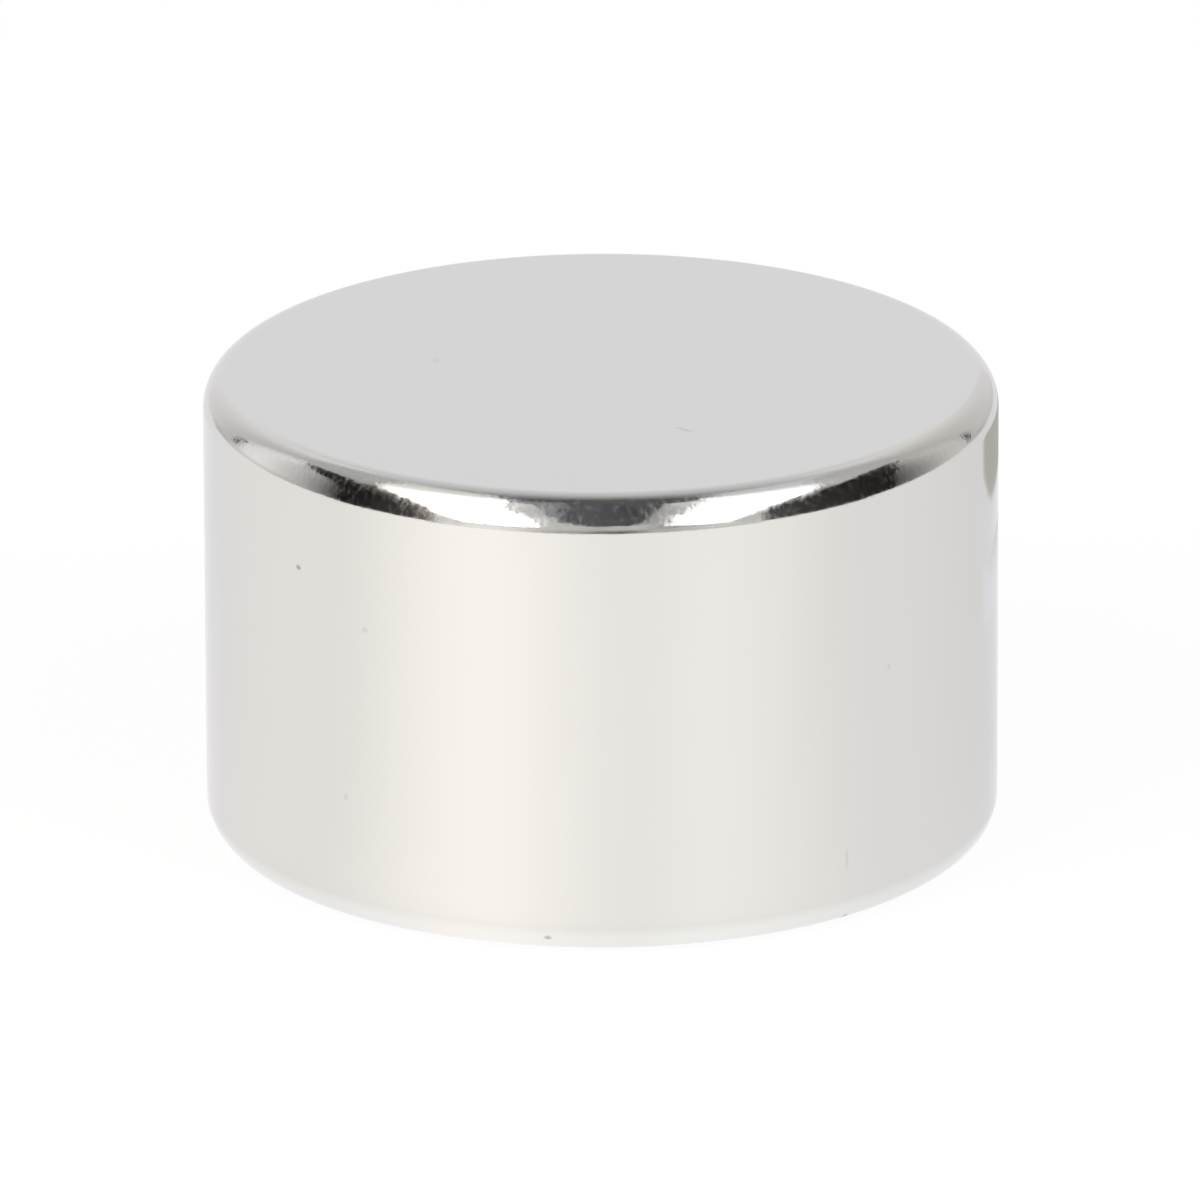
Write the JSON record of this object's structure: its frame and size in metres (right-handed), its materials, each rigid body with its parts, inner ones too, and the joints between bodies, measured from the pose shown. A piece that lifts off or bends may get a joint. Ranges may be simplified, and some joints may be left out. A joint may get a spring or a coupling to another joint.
{
  "type": "disc magnet",
  "caption": "Thick round disc magnet with two flat pole faces, a straight ground side wall and rounded edges, in bright nickel plating.",
  "frame": {"origin": "centre of the lower pole face, on the disc's axis", "axes": "+Z along the disc's axis from the lower pole face to the upper one; -Y is the side that faces the viewer in the picture, with +X to the viewer's right"},
  "size_m": [0.025, 0.025, 0.015],
  "materials": {
    "nickel_plating": "bright nickel plating over a tumbled and ground surface"
  },
  "bodies": {
    "root": {"disc_magnet": "nickel_plating"}
  },
  "joints": []
}
